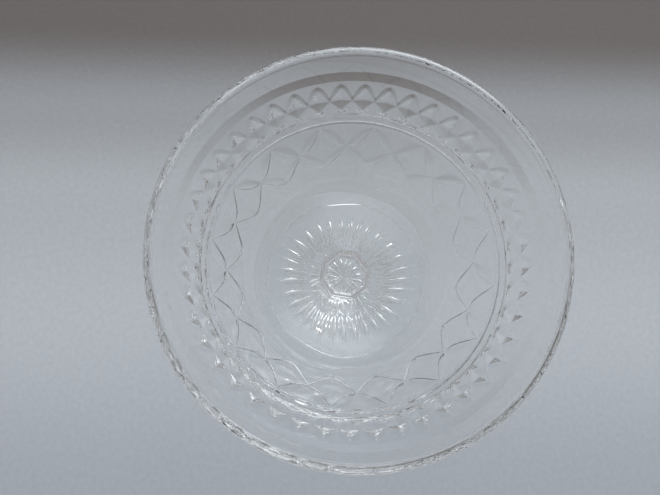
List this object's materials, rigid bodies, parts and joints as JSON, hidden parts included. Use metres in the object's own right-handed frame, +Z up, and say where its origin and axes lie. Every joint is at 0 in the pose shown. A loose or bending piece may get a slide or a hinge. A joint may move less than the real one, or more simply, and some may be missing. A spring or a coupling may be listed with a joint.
{
  "type": "footed candy dish",
  "caption": "Footed round candy dish in clear pressed glass: deep bowl with diamond and arch bands, panelled stem, rayed foot.",
  "frame": {"origin": "middle of the foot's underside, on the surface the dish stands on", "axes": "+Z up along the dish's own axis; the pattern repeats all the way round it"},
  "size_m": [0.152, 0.152, 0.11],
  "materials": {
    "bowl_glass": "fire-polished clear pressed glass with a faint grey-green tint",
    "stem_glass": "fire-polished clear pressed glass, flat panels",
    "foot_glass": "clear pressed glass, fire-polished above, slightly rubbed where it rests"
  },
  "bodies": {
    "root": {"bowl": "bowl_glass", "stem": "stem_glass", "foot": "foot_glass"}
  },
  "joints": []
}
